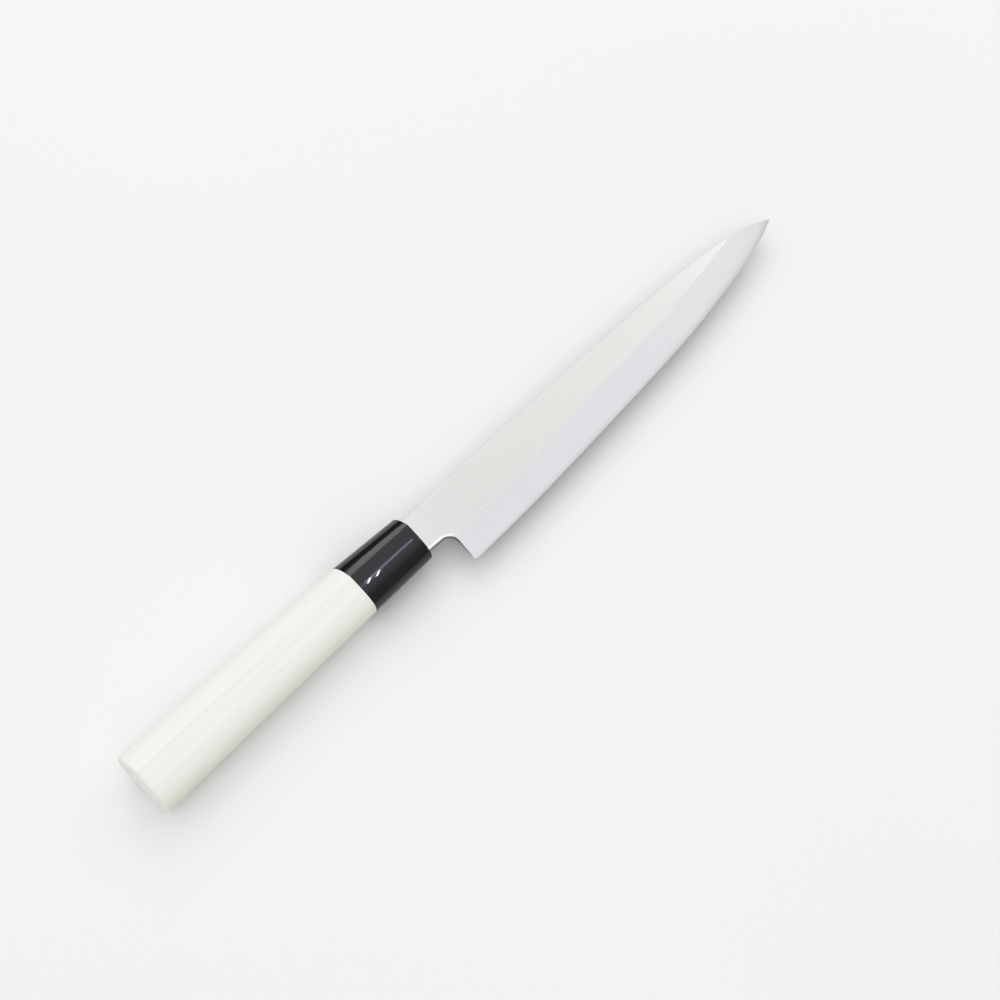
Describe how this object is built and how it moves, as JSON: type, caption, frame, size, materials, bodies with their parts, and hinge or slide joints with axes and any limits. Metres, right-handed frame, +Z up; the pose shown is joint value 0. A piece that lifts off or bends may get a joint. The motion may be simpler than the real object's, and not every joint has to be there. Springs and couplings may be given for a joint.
{
  "type": "yanagiba knife",
  "caption": "Long, slender single bevel slicing knife with a stick tang, a black plastic ferrule and a pale wood handle of chestnut section.",
  "frame": {"origin": "bottom centre of the knife's bounding box, with the knife lying level and its bevelled face up", "axes": "+X from the butt to the tip, +Y from the cutting edge to the spine, +Z up out of the bevelled face"},
  "size_m": [0.334, 0.0347, 0.0185],
  "materials": {
    "blade_steel": "satin ground stainless steel with a brighter line along the shinogi",
    "ferrule_plastic": "glossy black",
    "handle_wood": "plain sanded pale magnolia with fine lengthwise grain",
    "bedding_resin": "dull set adhesive"
  },
  "bodies": {
    "root": {"blade": "blade_steel", "ferrule": "ferrule_plastic", "handle": "handle_wood", "tang_bedding": "bedding_resin"}
  },
  "joints": []
}
